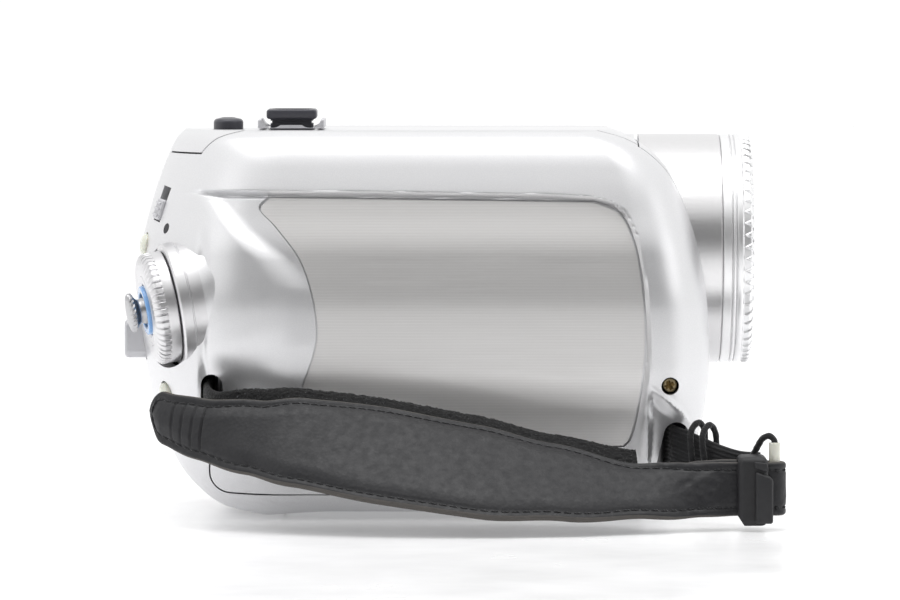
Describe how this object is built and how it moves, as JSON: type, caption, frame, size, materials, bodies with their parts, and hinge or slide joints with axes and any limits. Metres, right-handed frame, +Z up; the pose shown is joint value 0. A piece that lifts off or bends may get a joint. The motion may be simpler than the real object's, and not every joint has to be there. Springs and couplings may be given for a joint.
{
  "type": "camcorder",
  "caption": "Compact hard-drive camcorder with folding screen, mode dial with joystick, removable battery and stitched hand strap.",
  "frame": {"origin": "middle of the flat base face the camcorder stands on", "axes": "+X towards the lens, +Y towards the screen side, -Y towards the grip side, +Z up"},
  "size_m": [0.1189, 0.1709, 0.0737],
  "materials": {
    "silver_shell": "silver metallic paint on moulded plastic",
    "brushed_panel": "brushed warm-grey plate with fine level lines",
    "ring_metal": "bright turned ring",
    "steel": "bare steel",
    "brass": "dark plated screw",
    "dark_plastic": "dark slate plastic, satin",
    "black_plastic": "black plastic, matt",
    "grey_plastic": "light grey plastic, satin",
    "ivory_plastic": "pearly ivory plastic",
    "blue_ring": "light blue plastic, glossy",
    "lens_glass": "coated optical glass",
    "screen_glass": "dark display glass",
    "leather": "charcoal grained leather, stitched edges",
    "webbing": "black ribbed webbing and cord",
    "rubber": "black moulded rubber",
    "board": "green circuit board"
  },
  "bodies": {
    "root": {"right_shell": "silver_shell", "side_panel": "brushed_panel", "left_shell": "silver_shell", "top_cover": "silver_shell", "front_cover": "silver_shell", "base_cover": "silver_shell", "tripod_socket": "steel", "side_screw": "brass", "base_screw_1": "steel", "base_screw_2": "steel", "battery_holder": "black_plastic", "dial_collar": "silver_shell", "dial_ring": "blue_ring", "access_lamp": "ivory_plastic", "zoom_frame": "grey_plastic", "lens_ring": "ring_metal", "lens_baffle": "black_plastic", "front_lens": "lens_glass", "lens_tube": "black_plastic", "image_sensor": "board", "hard_drive": "steel", "drive_damper": "rubber", "main_board": "board", "card_socket": "steel", "speaker": "black_plastic", "microphone_grille": "dark_plastic", "remote_window": "black_plastic", "terminal_block": "black_plastic", "screen_pin": "steel", "grip_pad": "leather", "strap_webbing": "webbing", "strap_front_webbing": "webbing", "front_strap_pin": "steel", "rear_strap_pin": "steel", "cap_cord": "webbing", "cord_bead": "ivory_plastic"},
    "battery": {"battery": "dark_plastic"},
    "battery_latch": {"battery_latch": "dark_plastic"},
    "mode_dial": {"mode_dial": "silver_shell"},
    "joystick_plunger": {"joystick_plunger": "black_plastic"},
    "joystick_gimbal": {"joystick_gimbal": "black_plastic"},
    "joystick": {"joystick": "grey_plastic"},
    "record_button": {"record_button": "grey_plastic"},
    "menu_button": {"menu_button": "ivory_plastic"},
    "delete_button": {"delete_button": "ivory_plastic"},
    "power_switch": {"power_switch": "grey_plastic"},
    "zoom_lever": {"zoom_lever": "dark_plastic"},
    "shot_button": {"shot_button": "dark_plastic"},
    "zoom_lens": {"zoom_lens": "lens_glass"},
    "focus_lens": {"focus_lens": "lens_glass"},
    "card_door": {"card_door": "silver_shell"},
    "terminal_door": {"terminal_door": "silver_shell"},
    "screen_light_button": {"screen_light_button": "grey_plastic"},
    "copy_button": {"copy_button": "grey_plastic"},
    "screen_hinge": {"screen_hinge": "dark_plastic"},
    "strap_keeper": {"strap_keeper": "rubber"},
    "screen": {"screen_back": "silver_shell", "screen_bezel": "silver_shell", "screen_glass": "screen_glass", "screen_module": "black_plastic"}
  },
  "joints": [
    {"name": "battery_slide", "type": "slide", "parent": "root", "child": "battery", "axis": [0, 0, 1], "range_m": [0, 0.01]},
    {"name": "battery_latch_slide", "type": "slide", "parent": "root", "child": "battery_latch", "axis": [0, 1, 0], "range_m": [0, 0.0025], "stiffness_N_per_m": 600},
    {"name": "mode_dial_turn", "type": "hinge", "parent": "root", "child": "mode_dial", "pos_m": [-0.0488, -0.022, 0.0384], "axis": [-0.9633, -0.2048, -0.1736], "range_deg": [0, 144]},
    {"name": "joystick_press", "type": "slide", "parent": "root", "child": "joystick_plunger", "axis": [0.9633, 0.2048, 0.1736], "range_m": [0, 0.0005], "stiffness_N_per_m": 600},
    {"name": "joystick_tilt_side", "type": "hinge", "parent": "joystick_plunger", "child": "joystick_gimbal", "pos_m": [-0.0488, -0.022, 0.0384], "axis": [-0.1229, -0.2387, 0.9633], "range_deg": [-6, 6], "stiffness_Nm_per_rad": 0.02},
    {"name": "joystick_tilt_height", "type": "hinge", "parent": "joystick_gimbal", "child": "joystick", "pos_m": [-0.0488, -0.022, 0.0384], "axis": [-0.2387, 0.9493, 0.2048], "range_deg": [-6, 6], "stiffness_Nm_per_rad": 0.02},
    {"name": "record_press", "type": "slide", "parent": "root", "child": "record_button", "axis": [1, 0, 0], "range_m": [0, 0.0008], "stiffness_N_per_m": 600},
    {"name": "menu_press", "type": "slide", "parent": "root", "child": "menu_button", "axis": [0.9507, 0.211, -0.2274], "range_m": [0, 0.0005], "stiffness_N_per_m": 600},
    {"name": "delete_press", "type": "slide", "parent": "root", "child": "delete_button", "axis": [0.8847, 0.4232, 0.1955], "range_m": [0, 0.0005], "stiffness_N_per_m": 600},
    {"name": "power_switch_slide", "type": "slide", "parent": "root", "child": "power_switch", "axis": [0.3248, 0, 0.9458], "range_m": [0, 0.0021]},
    {"name": "zoom_lever_slide", "type": "slide", "parent": "root", "child": "zoom_lever", "axis": [0, 1, 0], "range_m": [-0.0022, 0.0022], "stiffness_N_per_m": 600},
    {"name": "shot_press", "type": "slide", "parent": "root", "child": "shot_button", "axis": [0, 0, -1], "range_m": [0, 0.0008], "stiffness_N_per_m": 600},
    {"name": "zoom_lens_slide", "type": "slide", "parent": "root", "child": "zoom_lens", "axis": [1, 0, 0], "range_m": [0, 0.008]},
    {"name": "focus_lens_slide", "type": "slide", "parent": "root", "child": "focus_lens", "axis": [1, 0, 0], "range_m": [0, 0.005]},
    {"name": "card_door_swing", "type": "hinge", "parent": "root", "child": "card_door", "pos_m": [-0.014, -0.0279, 0.0085], "axis": [0, -0.4472, 0.8944], "range_deg": [0, 40]},
    {"name": "terminal_door_swing", "type": "hinge", "parent": "root", "child": "terminal_door", "pos_m": [0.0459, 0.018, 0.014], "axis": [0.306, 0, 0.952], "range_deg": [0, 100]},
    {"name": "screen_light_press", "type": "slide", "parent": "root", "child": "screen_light_button", "axis": [0, -1, 0], "range_m": [0, 0.0003], "stiffness_N_per_m": 600},
    {"name": "copy_press", "type": "slide", "parent": "root", "child": "copy_button", "axis": [0, -1, 0], "range_m": [0, 0.0003], "stiffness_N_per_m": 600},
    {"name": "screen_fold", "type": "hinge", "parent": "root", "child": "screen_hinge", "pos_m": [0.04, 0.0295, 0.035], "axis": [0, 0, 1], "range_deg": [0, 90]},
    {"name": "screen_tilt", "type": "hinge", "parent": "screen_hinge", "child": "screen", "pos_m": [0.04, 0.0355, 0.035], "axis": [0, 1, 0], "range_deg": [-90, 180]},
    {"name": "keeper_slide", "type": "slide", "parent": "root", "child": "strap_keeper", "axis": [1, 0, 0], "range_m": [-0.0012, 0]}
  ]
}
